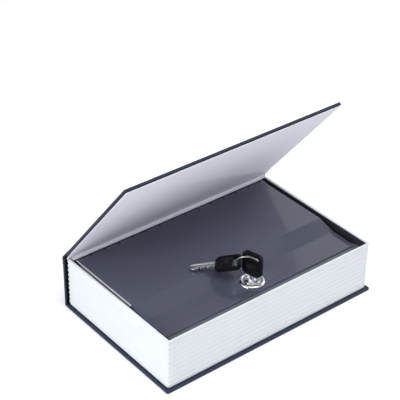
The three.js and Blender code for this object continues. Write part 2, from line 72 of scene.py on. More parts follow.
BACK_LOW, BACK = corners("back_board")
SPINE_LOW, SPINE = corners("spine_board")
UNDER_LOW, UNDER = corners("back_endpaper")
BLOCK_LOW, BLOCK = corners("page_block")
TRAY_LOW, TRAY = corners("steel_tray")
LID_LOW, LID = corners("lid_panel")
LOCK_LOW, LOCK_TOP = corners("lock_housing")
KEY_LOW, KEY_TOP = corners("key_bow")
HALF = BACK.x                               # half the book's length
AXIS = joint_place("cover_hinge")           # the cover's turning line
PIN = joint_place("lid_hinge")              # the lid's turning line
LOCK = joint_place("plug_turn")             # the lock's centre
OPEN = math.radians(51.2)                   # the cover's angle at rest
COVER_PLACE = Matrix.Translation(AXIS * MM) @ Matrix.Rotation(-OPEN, 4, "X")
SPINE_PLACE = Matrix.Translation((0, SPINE_LOW.y * MM, 0)) @ Matrix.Rotation(-math.pi / 2, 4, "X")


def cover_corners(node):
    """The lowest and the highest corner of a node on the cover, in the closed cover's own frame."""
    closed = COVER_PLACE.inverted()
    points = [closed @ vertex.co / MM for vertex in NODES[node].data.vertices]
    return [Vector([pick(point[axis] for point in points) for axis in range(3)]) for pick in (min, max)]


COVER_LOW, COVER = cover_corners("front_board")
PAPER_LOW, PAPER = cover_corners("front_endpaper")


# Node trees
class Shading:
    """The node tree of a material or of the world. Most of its functions add nodes and return an output."""

    def __init__(self, tree):
        self.tree = tree

    def feed(self, socket, value):
        """Gives a socket a number, a colour, a vector or another node's output."""
        if isinstance(value, tuple):
            opaque = (1.0,) * (len(socket.default_value) - len(value))
            socket.default_value = value + opaque
        elif isinstance(value, (int, float)):
            socket.default_value = value
        else:
            self.tree.links.new(value, socket)

    def add(self, kind, inputs=None, **settings):
        """A new node with its settings, and its inputs by name or number."""
        node = self.tree.nodes.new("ShaderNode" + kind)
        for name, value in settings.items():
            setattr(node, name, value)
        for name, value in (inputs or {}).items():
            self.feed(node.inputs[name], value)
        return node

    def coordinates(self, stretch=(1, 1, 1)):
        """Object coordinates in metres, times stretch."""
        place = self.add("TexCoord").outputs["Object"]
        return self.add("Mapping", {"Vector": place, "Scale": stretch}).outputs["Vector"]

    def axes(self, vector):
        return self.add("SeparateXYZ", {"Vector": vector}).outputs

    def noise(self, vector, scale, detail, rough=0.55):
        inputs = {"Vector": vector, "Scale": scale, "Detail": detail, "Roughness": rough}
        return self.add("TexNoise", inputs).outputs["Fac"]

    def threads(self, vector, period, axis):
        """Slightly uneven bands across one axis, period mm apart."""
        scale = 2 * math.pi / (20 * period * MM)
        inputs = {"Vector": vector, "Scale": scale, "Distortion": 0.6, "Detail": 1.0, "Detail Scale": 2.0}
        wave = self.add("TexWave", inputs, wave_type="BANDS", bands_direction=axis, wave_profile="SIN")
        return wave.outputs["Fac"]

    def ramp(self, value, stops):
        node = self.add("ValToRGB", {"Fac": value})
        elements = node.color_ramp.elements
        while len(elements) < len(stops):
            elements.new(0.5)
        for element, (place, colour) in zip(elements, stops):
            element.position = place
            element.color = (*colour, 1)
        return node.outputs["Color"]

    def spread(self, value, low, high, start=0.0, end=1.0):
        """Goes from low to high while the value goes from start to end."""
        inputs = {"Value": value, "From Min": start, "From Max": end, "To Min": low, "To Max": high}
        return self.add("MapRange", inputs).outputs["Result"]

    def mixed(self, share, first, second):
        return self.add("Mix", {0: share, 6: first, 7: second}, data_type="RGBA").outputs[2]

    def maths(self, operation, first, second):
        return self.add("Math", {0: first, 1: second}, operation=operation).outputs[0]

    def times(self, first, second):
        return self.maths("MULTIPLY", first, second)

    def clouded(self, noise, most, start, end, first, second):
        """The first colour with clouds of the second, whose share goes from 0 to most as the noise goes
        from start to end."""
        return self.mixed(self.spread(noise, 0.0, most, start, end), first, second)

    def within(self, value, low, high):
        """1 from low to high and 0 further out, in metres."""
        soft = 0.4 * MM
        above = self.spread(value, 0.0, 1.0, low - soft, low)
        below = self.spread(value, 1.0, 0.0, high, high + soft)
        return self.times(above, below)

    def worn_edges(self, patches, start=0.52, end=0.6):
        """1 on sharp outward edges, broken up by patches."""
        pointed = self.add("NewGeometry").outputs["Pointiness"]
        return self.times(self.spread(pointed, 0.0, 1.0, start, end), patches)

    def seen_as_white(self):
        """1 for camera, glossy and transmission rays."""
        rays = self.add("LightPath").outputs
        first = self.maths("MAXIMUM", rays["Is Camera Ray"], rays["Is Glossy Ray"])
        return self.maths("MAXIMUM", first, rays["Is Transmission Ray"])


class Surface(Shading):
    """A material with one Principled shader."""

    def __init__(self, name, colour, rough, specular=0.5, metallic=0.0, sheen=0.0):
        self.material = bpy.data.materials.new(name)
        self.material.use_nodes = True
        super().__init__(self.material.node_tree)
        self.shader = self.tree.nodes["Principled BSDF"]
        self.set("Base Color", colour)
        self.set("Roughness", rough)
        self.set("Specular IOR Level", specular)
        self.set("Metallic", metallic)
        self.set("Sheen Weight", sheen)

    def set(self, socket, value):
        self.feed(self.shader.inputs[socket], value)

    def bump(self, *layers):
        """Height fields, each (height, strength, distance in mm), one on the other."""
        inputs = {}
        for height, strength, distance in layers:
            inputs.update({"Height": height, "Strength": strength, "Distance": distance * MM})
            inputs["Normal"] = self.add("Bump", inputs).outputs["Normal"]
        self.set("Normal", inputs["Normal"])


def tinted(colour, *shares):
    """A colour times one share, or with a share for each of its channels."""
    return tuple(channel * share for channel, share in zip(colour, shares * 3))


# Book cloth
STAMP_X, STAMP_Y = (21.6, 74.4), (-120.3, -28.5)   # the silver border on the closed cover, in mm
STAMP_LINE = 2.4
SILVER = (0.42, 0.45, 0.5)
# near black: painted shade on the cover's inside, by the paper
PAINTED_SHADE_BY_PAPER = (0.002, 0.003, 0.007)


def stamped(cloth, base):
    """Adds a plain silver border to the cover's outside, and paints shade on its inside next to the paper:
    the inner face and the foot of its edges.
    """
    whole = cloth.add("TexCoord").outputs["Object"]
    place = cloth.axes(whole)

    def rectangle(inset):
        inside = []
        for axis, (low, high) in (("X", STAMP_X), ("Y", STAMP_Y)):
            above = cloth.maths("GREATER_THAN", place[axis], (low + inset) * MM)
            below = cloth.maths("LESS_THAN", place[axis], (high - inset) * MM)
            inside.append(cloth.times(above, below))
        return cloth.times(*inside)

    outer_face, inner_face, side = 2.5 * MM, 0.4 * MM, 1.1 * MM
    border = cloth.maths("SUBTRACT", rectangle(0.0), rectangle(STAMP_LINE))
    outside = cloth.maths("GREATER_THAN", place["Z"], outer_face)
    grain = cloth.spread(cloth.noise(whole, 900, 4), 0.0, 1.0, 0.3, 0.48)
    foil = cloth.times(cloth.times(border, outside), grain)
    cloth.set("Metallic", foil)
    cloth.set("Roughness", cloth.spread(foil, 0.63, 0.32))
    # painted shade: the inner face and the foot of the edges go near black, for the shade beside the paper
    inner = cloth.spread(place["Z"], 1.0, 0.0, inner_face, side)
    return cloth.mixed(inner, cloth.mixed(foil, base, SILVER), PAINTED_SHADE_BY_PAPER)


def book_cloth(name, colour, light, specular=0.3, sheen=0.08, stamp=False):
    """Woven book cloth with a slight sheen, paler at the edges for wear and a painted highlight."""
    cloth = Surface(name, colour, rough=0.62, specular=specular, sheen=sheen)
    cloth.set("Sheen Tint", light)
    vector = cloth.coordinates()
    weave = cloth.maths("ADD", cloth.threads(vector, 0.55, "X"), cloth.threads(vector, 0.62, "Y"))
    slub = cloth.noise(cloth.coordinates((1, 0.12, 1)), 1500, 3)
    cloud = cloth.noise(vector, 28, 5)
    base = cloth.clouded(cloud, 0.35, 0.35, 0.7, colour, light)
    base = cloth.clouded(slub, 0.3, 0.45, 0.75, base, light)
    # paler edges: part wear, part a painted highlight where the edges catch the light
    worn_and_lit = cloth.worn_edges(cloth.noise(vector, 160, 5))
    base = cloth.mixed(worn_and_lit, base, tinted(light, 2.3, 1.9, 1.7))
    if stamp:
        base = stamped(cloth, base)
    else:
        cloth.set("Roughness", cloth.spread(cloud, 0.55, 0.72, 0.3, 0.7))
    cloth.set("Base Color", base)
    cloth.bump((weave, 0.35, 0.06), (slub, 0.25, 0.05))
    return cloth.material


NAVY, NAVY_LIGHT = (0.011, 0.02, 0.042), (0.034, 0.043, 0.078)
CLOTH = book_cloth("book_cloth", NAVY, NAVY_LIGHT)
CLOTH_FRONT = book_cloth("book_cloth_front", NAVY, NAVY_LIGHT, stamp=True)
# near black: painted shade in the notches by the spine
SHADE_BLACK, SHADE_BLACK_LIGHT = (0.002, 0.003, 0.006), (0.004, 0.005, 0.01)
SPINE_SHADE_CLOTH = book_cloth("spine_shade_sheet", SHADE_BLACK, SHADE_BLACK_LIGHT, specular=0.05, sheen=0.0)


# Paper
def paper(name, colour, light, page_edges=False):
    """Uncoated paper, or the edges of many pages as fine level lines."""
    sheet = Surface(name, colour, rough=0.8, specular=0.25)
    fibre = sheet.noise(sheet.coordinates((1, 0.4, 1)), 900, 6, 0.7)
    cloud = sheet.noise(sheet.coordinates(), 18, 4)
    base = sheet.clouded(cloud, 0.6, 0.3, 0.7, colour, light)
    layers = [(fibre, 0.12, 0.04)]
    if page_edges:
        leaves = sheet.noise(sheet.coordinates((3, 3, 900)), 2.4, 3, 0.6)
        bundles = sheet.noise(sheet.coordinates((0.66, 0.66, 198)), 2.0, 2, 0.5)
        base = sheet.clouded(leaves, 0.13, 0.5, 0.7, base, tinted(colour, 0.95))
        base = sheet.clouded(bundles, 0.13, 0.5, 0.75, base, tinted(colour, 0.96))
        layers.append((leaves, 0.06, 0.02))
    sheet.set("Base Color", base)
    sheet.set("Roughness", sheet.spread(fibre, 0.72, 0.88, 0.3, 0.7))
    sheet.bump(*layers)
    return sheet.material


ENDPAPER = paper("endpaper", (0.85, 0.85, 0.935), (0.89, 0.89, 0.965))
PAGES = paper("page_edges", (0.8, 0.825, 0.865), (0.84, 0.865, 0.9), page_edges=True)


# Powder coat
def lit_rim_shaded_walls(coat, place, base, wall_shade):
    """Keeps the base, lightened as painted light, on the level faces of the tray's rim, and gives every
    other face a dark colour as painted shade.
    """
    facing = coat.axes(coat.add("NewGeometry").outputs["Normal"])
    level = coat.spread(facing["Z"], 0.0, 1.0, 0.6, 0.9)
    rim = coat.within(place["Z"], 40 * MM, 50 * MM)
    return coat.mixed(coat.times(level, rim), wall_shade, base)


def powder_coat(name, colour, light, rough, painted_light=(), wall_shade=None):
    """Powder coat: a fine orange peel and paler edges for wear; it can add painted light in boxes and
    painted shade on upright faces.
    """
    coat = Surface(name, colour, rough)
    vector = coat.coordinates()
    peel = coat.noise(vector, 1400, 2, 0.5)
    fleck = coat.noise(vector, 3200, 2, 0.6)
    cloud = coat.noise(vector, 22, 5)
    base = coat.clouded(cloud, 0.35, 0.35, 0.7, colour, light)
    base = coat.clouded(fleck, 0.3, 0.55, 0.75, base, light)
    base = coat.mixed(coat.worn_edges(coat.noise(vector, 220, 5)), base, tinted(light, 2.2))
    place = coat.axes(vector)
    # painted light on the level rim and painted shade on the rest, picked by which way each face points
    if wall_shade:
        base = lit_rim_shaded_walls(coat, place, base, wall_shade)
    # painted light: each box gets a paler colour
    for ranges, tone, share in painted_light:
        part = share
        for axis, (low, high) in zip("XYZ", ranges):
            part = coat.times(coat.within(place[axis], low * MM, high * MM), part)
        base = coat.mixed(part, base, tone)
    coat.set("Base Color", base)
    coat.set("Roughness", coat.spread(cloud, rough - 0.03, rough + 0.05, 0.3, 0.7))
    coat.bump((peel, 0.12, 0.05), (fleck, 0.05, 0.03))
    return coat.material


# The lid's painted light, each as (ranges along X, Y and Z in mm, colour, share)
# painted highlight: a pale strip on the lid's left bend, where it catches the light
PAINTED_HIGHLIGHT_LEFT_EDGE = (((-HALF, 0.7 - LID.x), (-14, 69), (40, 60)), (0.93, 0.94, 0.96), 0.96)
# painted light: the lid's front edge and face, paler against the shade between the lid and the tray's rim
PAINTED_LIGHT_FRONT_EDGE = (((-HALF, HALF), (-70, -61.9), (40, 46.8)), (0.42, 0.43, 0.47), 0.9)
LID_GREY, LID_LIGHT = (0.069, 0.073, 0.108), (0.083, 0.087, 0.126)
# the tray's level rim is painted lighter against the shade there, and its upright faces darker, as painted
# shade
TRAY_GREY, TRAY_LIGHT, TRAY_WALL_SHADE = (0.11, 0.116, 0.14), (0.125, 0.13, 0.16), (0.028, 0.03, 0.037)
# the hinge's dark paint, darkened to near black as painted shade in the slits of the lid's curl
HINGE_SHADE_BLACK, HINGE_LIGHT = (0.006, 0.007, 0.009), (0.01, 0.011, 0.014)
LID_PAINTED_LIGHT = (PAINTED_HIGHLIGHT_LEFT_EDGE, PAINTED_LIGHT_FRONT_EDGE)
POWDER_LID = powder_coat("powder_coat_lid", LID_GREY, LID_LIGHT, rough=0.13, painted_light=LID_PAINTED_LIGHT)
POWDER_TRAY = powder_coat("powder_coat_tray", TRAY_GREY, TRAY_LIGHT, rough=0.2, wall_shade=TRAY_WALL_SHADE)
HINGE_PAINT_AND_SHADE = powder_coat("powder_coat_hinge_shaded", HINGE_SHADE_BLACK, HINGE_LIGHT, rough=0.5)


# Metal and plastic
def metal(name, colour, rough, scale, strength, stretch=(1, 1, 1)):
    """Plated or brushed metal with a fine grain and duller patches."""
    dull = (0.3, 0.3, 0.32)
    plating = Surface(name, colour, rough, metallic=1.0)
    lines = plating.noise(plating.coordinates(stretch), scale, 4, 0.6)
    smear = plating.noise(plating.coordinates(), 130, 5)
    plating.set("Base Color", plating.clouded(smear, 0.25, 0.45, 0.75, colour, dull))
    plating.set("Roughness", plating.spread(smear, rough, rough + 0.14, 0.35, 0.75))
    plating.bump((lines, strength, 0.03))
    return plating.material


CHROME = metal("chrome_plate", (0.62, 0.63, 0.66), rough=0.07, scale=900, strength=0.03)
NICKEL = metal("nickel_plate", (0.52, 0.52, 0.54), rough=0.26, scale=600, strength=0.12, stretch=(1, 12, 1))
ZINC = metal("zinc_plate", (0.5, 0.5, 0.49), rough=0.35, scale=500, strength=0.12, stretch=(1, 1, 8))
STEEL = metal("bright_steel", (0.6, 0.6, 0.61), rough=0.28, scale=500, strength=0.1, stretch=(8, 1, 1))


def moulded(name, colour, light, rough):
    """Black moulded plastic with a spark-eroded grain."""
    plastic = Surface(name, colour, rough, specular=0.09)
    vector = plastic.coordinates()
    grain = plastic.noise(vector, 2600, 3, 0.6)
    cloud = plastic.noise(vector, 90, 4)
    base = plastic.clouded(cloud, 0.4, 0.35, 0.7, colour, light)
    # paler edges: part wear, part a painted highlight along the raised rims
    wear_and_highlight = plastic.worn_edges(plastic.noise(vector, 500, 4), 0.53, 0.62)
    plastic.set("Base Color", plastic.mixed(wear_and_highlight, base, tinted(light, 2.5)))
    plastic.set("Roughness", plastic.spread(cloud, rough - 0.06, rough + 0.08, 0.3, 0.7))
    plastic.bump((grain, 0.25, 0.04))
    return plastic.material


PLASTIC = moulded("black_plastic", (0.0045, 0.0045, 0.0055), (0.009, 0.009, 0.011), rough=0.33)


# Outlines and paths
def quarter(x, y, radius_x, radius_y, start, steps=6):
    """Points on a quarter of an ellipse round (x, y), from the angle start in degrees."""
    angles = [math.radians(start + 90 * i / steps) for i in range(steps + 1)]
    return [(x + radius_x * math.cos(a), y + radius_y * math.sin(a)) for a in angles]


def turn(sides):
    """The angles of a whole turn in equal steps."""
    return [2 * math.pi * i / sides for i in range(sides)]


def outline(x0, x1, y0, y1, radius, steps=6):
    """A rounded rectangle as points, anticlockwise."""
    left, right, low, high = x0 + radius, x1 - radius, y0 + radius, y1 - radius
    middles = ((right, high), (left, high), (left, low), (right, low))
    points = []
    for i, (x, y) in enumerate(middles):
        points += quarter(x, y, radius, radius, 90 * i, steps)
    return points


def thick_path(path, thickness):
    """A closed section from an open path, thickened to its left, or to its right if negative."""
    back = []
    for i, (y, z) in enumerate(path):
        y0, z0 = path[max(i - 1, 0)]
        y1, z1 = path[min(i + 1, len(path) - 1)]
        length = math.hypot(y1 - y0, z1 - z0)
        back.append((y - thickness * (z1 - z0) / length, z + thickness * (y1 - y0) / length))
    return path + back[::-1]


def smooth_path(points, count):
    """A Catmull-Rom line through the points, with about count steps."""
    spans = len(points) - 1
    steps = max(2, round(count / spans))
    padded = [points[0], *points, points[-1]]
    path = []
    for span in range(spans):
        p0, p1, p2, p3 = (Vector(point) for point in padded[span:span + 4])
        bend, twist = 2 * p0 - 5 * p1 + 4 * p2 - p3, 3 * p1 - p0 - 3 * p2 + p3
        for i in range(steps):
            t = i / steps
            path.append(tuple(0.5 * (2 * p1 + (p2 - p0) * t + bend * t * t + twist * t ** 3)))
    return path + [points[-1]]


def share_of(value, start, length):
    """How far the value has gone from start along length, from 0 to 1."""
    return min(max((value - start) / length, 0.0), 1.0)


# Meshes
def add_object(name, data):
    """A new object, linked to the scene."""
    obj = bpy.data.objects.new(name, data)
    bpy.context.scene.collection.objects.link(obj)
    return obj


def shade_smooth(mesh, sharp):
    """Smooth shading, except across edges of more than sharp degrees."""
    for polygon in mesh.polygons:
        polygon.use_smooth = True
    mesh.set_sharp_from_angle(angle=math.radians(sharp))


def make(name, rows, faces, material, sharp=35):
    """A mesh object from rows of points in mm."""
    mesh = bpy.data.meshes.new(name)
    mesh.from_pydata([Vector(point) * MM for row in rows for point in row], [], faces)
    mesh.validate()
    work = bmesh.new()
    work.from_mesh(mesh)
    bmesh.ops.recalc_face_normals(work, faces=work.faces)
    work.to_mesh(mesh)
    work.free()
    shade_smooth(mesh, sharp)
    mesh.materials.append(material)
    return add_object(name, mesh)


def bands(rows, round_rows=False, round_points=True):
    """Four-sided faces between rows of points. round_rows joins the last row to the first, and round_points
    joins the last point of each row to its first."""
    count, n = len(rows), len(rows[0])
    faces = []
    for row in range(count if round_rows else count - 1):
        start, ahead = row * n, (row + 1) % count * n
        for i in range(n if round_points else n - 1):
            j = (i + 1) % n
            faces.append((start + i, start + j, ahead + j, ahead + i))
    return faces


def solid(name, rows, material, sharp=35):
    """A closed solid through rows of points, with a flat face at each end."""
    n, last = len(rows[0]), (len(rows) - 1) * len(rows[0])
    ends = [tuple(reversed(range(n))), tuple(range(last, last + n))]
    return make(name, rows, bands(rows) + ends, material, sharp)


def rounded_slab(name, low, high, corner, edge, material, steps=4):
    """A board or sheet between two corners, with rounded corners and rolled edges."""
    levels = quarter(edge, low[2] + edge, edge, edge, 180, steps)[::-1]
    levels += quarter(edge, high[2] - edge, edge, edge, 90, steps)[::-1]
    rows = []
    for inset, z in levels:
        radius = max(corner - inset, 0.05)
        ring = outline(low[0] + inset, high[0] - inset, low[1] + inset, high[1] - inset, radius)
        rows.append([(x, y, z) for x, y in ring])
    return solid(name, rows, material)


def sweep_along_x(name, section, x0, x1, material):
    """A closed section in the YZ plane, swept along X."""
    columns = 24
    places = [x0 + (x1 - x0) * i / columns for i in range(columns + 1)]
    return solid(name, [[(x, y, z) for y, z in section] for x in places], material)


def upright(name, plan, z0, z1):
    """A prism that cuts through level sheet, from its outline seen from above."""
    return solid(name, [[(x, y, z) for x, y in plan] for z in (z0, z1)], CHROME)


def plate(name, face, y0, y1, material):
    """A plate across Y, from its outline seen from the front."""
    return solid(name, [[(x, y, z) for x, z in face] for y in (y0, y1)], material)


def cut(obj, cutter, operation="DIFFERENCE"):
    """Has the cutter taken from the piece, or added to it, and returns the cutter."""
    change = obj.modifiers.new("cut", "BOOLEAN")
    change.operation = operation
    change.object = cutter
    change.solver = "EXACT"
    return cutter


def ease_edges(obj, width, angle=40, segments=3, harden=True):
    """Rounds edges sharper than an angle in degrees."""
    ease = obj.modifiers.new("eased", "BEVEL")
    ease.width = width * MM
    ease.segments = segments
    ease.limit_method = "ANGLE"
    ease.angle_limit = math.radians(angle)
    ease.harden_normals = harden


def settle(obj, helpers):
    """Applies the piece's modifiers and removes the helpers that cut it or were added to it."""
    bpy.context.view_layer.update()
    mesh = bpy.data.meshes.new_from_object(obj.evaluated_get(bpy.context.evaluated_depsgraph_get()))
    obj.modifiers.clear()
    obj.data = mesh
    for helper in helpers:
        bpy.data.objects.remove(helper, do_unlink=True)
    shade_smooth(mesh, 40)


def stand_in(piece, body, node):
    """The piece rides on the body, in the place of the CAD node."""
    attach(piece, body)
    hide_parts(node)


# Boards and papers
def make_boards():
    front = rounded_slab("cover_front", COVER_LOW, COVER, corner=1.6, edge=1.0, material=CLOTH_FRONT)
    front.matrix_world = COVER_PLACE
    stand_in(front, "front_cover", "front_board")

    back = rounded_slab("cover_back", BACK_LOW, BACK, corner=1.6, edge=0.9, material=CLOTH)
    stand_in(back, "case", "back_board")

    low, high = (-HALF, -SPINE.z, 0), (HALF, 0, SPINE.y - SPINE_LOW.y)
    spine = rounded_slab("cover_spine", low, high, corner=1.4, edge=1.0, material=CLOTH)
    spine.matrix_world = SPINE_PLACE
    stand_in(spine, "case", "spine_board")


def make_papers():
    corner, edge, steps = 1.0, 0.12, 2
    joint_side, glue = 7.0, 0.08
    high = (PAPER.x, -joint_side, -glue)
    front = rounded_slab("paper_front", PAPER_LOW, high, corner, edge, ENDPAPER, steps)
    front.matrix_world = COVER_PLACE
    stand_in(front, "front_cover", "front_endpaper")

    low = (UNDER_LOW.x, UNDER_LOW.y, BACK.z + 0.05)
    back = rounded_slab("paper_back", low, UNDER, corner, edge, ENDPAPER, steps)
    stand_in(back, "case", "back_endpaper")


make_boards()
make_papers()


# Page block
GATHERINGS = 10
PITCH = (BLOCK.z - BLOCK_LOW.z) / GATHERINGS
SCALLOP = 2.4                               # depth of the notch between two gatherings by the spine
RIM, RIM_INSIDE = 0.55, 0.4                 # radius of the rim, outside and inside


def groove(z, width):
    """1 in the groove between two gatherings, 0 on their faces."""
    offset = (z - BLOCK_LOW.z) / PITCH
    distance = abs(offset - round(offset)) * PITCH
    return math.exp(-((distance / width) ** 2))


def block_outline(z, edge):
    """The outside of the page block at one height, with notched corners, mostly by the spine."""
    inset = edge + 0.06 * groove(z, 0.5)
    gap = SCALLOP * groove(z, 1.25)
    rear_x, rear_y, front = 0.9 + 0.85 * gap, 0.9 + gap, 1.2 + 0.6 * gap
    side, fore, rear = BLOCK.x - inset, BLOCK_LOW.y + inset + front, BLOCK.y - edge - rear_y
    points = quarter(side - rear_x, rear, rear_x, rear_y, 0)
    points += quarter(rear_x - side, rear, rear_x, rear_y, 90)
    points += quarter(front - side, fore, front, front, 180)
    points += quarter(side - front, fore, front, front, 270)
    return points


def opening(grow):
    """The hollow that holds the tray, wider by grow on each side."""
    side, front, rear, corner = TRAY.x + 0.3, TRAY_LOW.y - 1.0, TRAY.y + 1.3, 0.8
    return outline(-side - grow, side + grow, front - grow, rear + grow, corner + grow)


def make_page_block():
    """The wall, the rounded rim, then down inside it to the lower edge."""
    wall_steps, wall_top = 140, BLOCK.z - RIM
    levels = []
    for i in range(wall_steps + 1):
        z = BLOCK_LOW.z + (wall_top - BLOCK_LOW.z) * i / wall_steps
        levels.append((z, block_outline(z, 0.0)))
    top_face = BLOCK.z - 2.4
    outward = reversed(quarter(RIM, 0, RIM, RIM, 90, steps=5)[:-1])
    for inset, rise in outward:
        levels.append((wall_top + rise, block_outline(top_face, inset)))
    inward = quarter(RIM_INSIDE, -RIM_INSIDE, RIM_INSIDE, RIM_INSIDE, 90, steps=4)[1:]
    for grow, rise in inward:
        levels.append((BLOCK.z + rise, opening(grow)))
    levels.append((BLOCK_LOW.z, opening(0.0)))
    rows = [[(x, y, z) for x, y in points] for z, points in levels]
    return make("page_block_leaves", rows, bands(rows, round_rows=True), PAGES, sharp=50)


def make_spine_shade_sheet():
    """A near-black cloth sheet inside the spine: painted shade seen in the notches of the pages."""
    end, top, foot, glue, thickness = 0.6, 0.4, 0.3, 0.02, 0.26
    low = (-HALF + end, -SPINE.z + top, -glue - thickness)
    high = (HALF - end, -BACK.z - foot, -glue)
    shade_sheet = rounded_slab("spine_shade_sheet", low, high, corner=0.6, edge=0.08, material=SPINE_SHADE_CLOTH, steps=2)
    shade_sheet.matrix_world = SPINE_PLACE
    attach(shade_sheet, "case")


stand_in(make_page_block(), "case", "page_block")
make_spine_shade_sheet()


# The cloth joint and the paper over it
def beside(y, z):
    """A point y behind and z above the cover's turning line."""
    return (AXIS.y + y, AXIS.z + z)


def on_cover(along, rise):
    """A point along the open cover from its turning line, and rise out from its board's inner face."""
    y = rise * math.sin(OPEN) - along * math.cos(OPEN)
    z = rise * math.cos(OPEN) + along * math.sin(OPEN)
    return beside(y, z)


BEAD_RADIUS, BEAD_ANGLE = 2.25, math.radians(168)
BEAD_END = beside(BEAD_RADIUS * math.cos(BEAD_ANGLE), BEAD_RADIUS * math.sin(BEAD_ANGLE))
CLOTH_TOP = on_cover(1.0, 3.2)
CLOTH_HALF = HALF - 0.3


def make_paper_bead():
    """The paper rolled over the joint in front, in a long piece and a short one past a slit."""
    bends = ((-4.34, -2.25), (-4.42, -1.7), (-4.38, -1.1), (-4.05, -0.5), (-3.45, -0.05), (-2.8, 0.2))
    path = smooth_path([beside(y, z) for y, z in bends] + [BEAD_END], count=36)
    section = thick_path(path, thickness=-0.28)
    for name, x0, x1 in (("paper_roll", -113.6, 111.7), ("paper_roll_end", 112.3, 114.5)):
        bead = sweep_along_x(name, section, x0, x1, ENDPAPER)
        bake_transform(bead)
        if name == "paper_roll":
            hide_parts("joint_cloth")


def make_paper_run():
    """The paper from the bead up to the cover's flat paper."""
    bends = ((2.6, -1.35), (4.5, -1.2), (7.0, -0.95), (9.5, -0.8), (12.5, -0.72))
    path = smooth_path([BEAD_END] + [on_cover(along, rise) for along, rise in bends], count=30)
    section = thick_path(path, thickness=-0.5)
    run = sweep_along_x("paper_run", section, -PAPER.x, PAPER.x, ENDPAPER)
    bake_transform(run)


def make_cloth_joint():
    """The cloth outside the joint: up from the spine, then along the cover's outside."""
    bends = ((4.15, -8.2), (4.2, -4.2), (4.25, -1.6), (4.1, -0.45), (3.35, 0.85), (2.6, 1.85))
    path = smooth_path([beside(y, z) for y, z in bends] + [CLOTH_TOP], count=24)
    section = thick_path(path, thickness=1.2)
    low = sweep_along_x("cloth_joint_low", section, -CLOTH_HALF, CLOTH_HALF, CLOTH)
    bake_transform(low)

    bends = ((2.4, 3.2), (4.4, 3.2), (6.6, 3.22), (9.5, 3.18), (13.0, 3.14))
    path = smooth_path([CLOTH_TOP] + [on_cover(along, rise) for along, rise in bends], count=28)
    section = thick_path(path, thickness=1.0)
    high = sweep_along_x("cloth_joint_high", section, -CLOTH_HALF, CLOTH_HALF, CLOTH)
    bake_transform(high)


make_paper_bead()
make_paper_run()
make_cloth_joint()


# Pressed lid
FRONT_EDGE = LID_LOW.y - 1.4
LOW_FLAT = LID.z - 5.0                      # the lid's top by the lock
SLOPE_FOOT, SLOPE_TOP = -35.0, -14.6
SKIRT_FRONT, SKIRT_REAR = FRONT_EDGE + 4.6, LID.y - 5.0
FRONT_ROLL = 0.5                            # how much of the front edge is rolled down


def lid_height(y):
    """Height of the lid's top face: a flat, a slope with eased bends, and the low flat by the lock."""
    t = share_of(y, SLOPE_FOOT, SLOPE_TOP - SLOPE_FOOT)
    soft = 0.06
    if t < soft:
        eased = t * t / (2 * soft)
    elif t > 1 - soft:
        eased = 1 - soft - (1 - t) ** 2 / (2 * soft)
    else:
        eased = t - soft / 2
    return LOW_FLAT + (LID.z - LOW_FLAT) * eased / (1 - soft)


def lid_rows():
    """Where the lid's sections stand along Y, close together at the bends and the edges."""
    rows = [LID.y - step for step in (0, 0.6, 1.2, 3.0)] + [SKIRT_REAR, 45, 30, 15, 0, -10]
    rows += [SLOPE_TOP + step for step in (1.2, 0.6, 0, -0.6, -1.2)] + [-20, -25, -30]
    rows += [SLOPE_FOOT + step for step in (1.2, 0.6, 0, -0.6, -2)] + [-42, -47, -52, SKIRT_FRONT]
    return rows + [FRONT_EDGE + step for step in (4.0, 2.8, 1.8, 1.1, 0.5, 0.3, 0.1, 0)]


def lid_section(y):
    """The lid's top face at y from left to right, with side skirts except in front and at the rear."""
    corner, bend, flat_bend, skirt, flat_skirt, roll_depth = 3.0, 1.3, 0.25, 5.0, 0.3, 0.35
    into_corner = max(corner - (y - FRONT_EDGE), 0.0)
    half = LID.x - corner + math.sqrt(max(corner ** 2 - into_corner ** 2, 0.0))
    into_roll = share_of(-y, -FRONT_EDGE - FRONT_ROLL, FRONT_ROLL)
    top = lid_height(y) - roll_depth * (1.0 - math.sqrt(1.0 - into_roll ** 2))
    skirted = SKIRT_FRONT <= y <= SKIRT_REAR
    drop = bend if skirted else flat_bend
    side = quarter(half - drop, top - drop, drop, drop, 0)[::-1]
    side.append((half, top - (skirt if skirted else flat_skirt)))
    middle = [(half * share, top) for share in (-0.66, -0.33, 0.0, 0.33, 0.66)]
    return [(x, y, z) for x, z in [(-x, z) for x, z in side[::-1]] + middle + side]


def make_lid():
    rows = [lid_section(y) for y in lid_rows()]
    lid = make("lid_pressing", rows, bands(rows, round_points=False), POWDER_LID, sharp=60)
    if sum(polygon.normal.z for polygon in lid.data.polygons) < 0:
        lid.data.flip_normals()
    sheet = lid.modifiers.new("sheet", "SOLIDIFY")
    sheet.thickness = 1.15 * MM
    sheet.offset = -1
    sheet.use_even_offset = True
    ease_edges(lid, width=0.22, angle=50, segments=2)
    radius, sides, below, above = 9.7, 48, 40, 52
    hole = [(LOCK.x + radius * math.cos(a), LOCK.y + radius * math.sin(a)) for a in turn(sides)]
    settle(lid, [cut(lid, upright("hole_cutter", hole, below, above))])
    return lid


def slit_cutter(x):
    """Cuts a slit, wider where the sheet turns down."""
    right = [(half, PIN.y + y) for half, y in ((0.5, -2.08), (1.2, -1.3), (1.3, 0.6), (1.3, 2.8))]
    left = [(-half, y) for half, y in right[::-1]]
    below, above = 46, 56
    return upright("slit_cutter", [(x + across, y) for across, y in right + left], below, above)


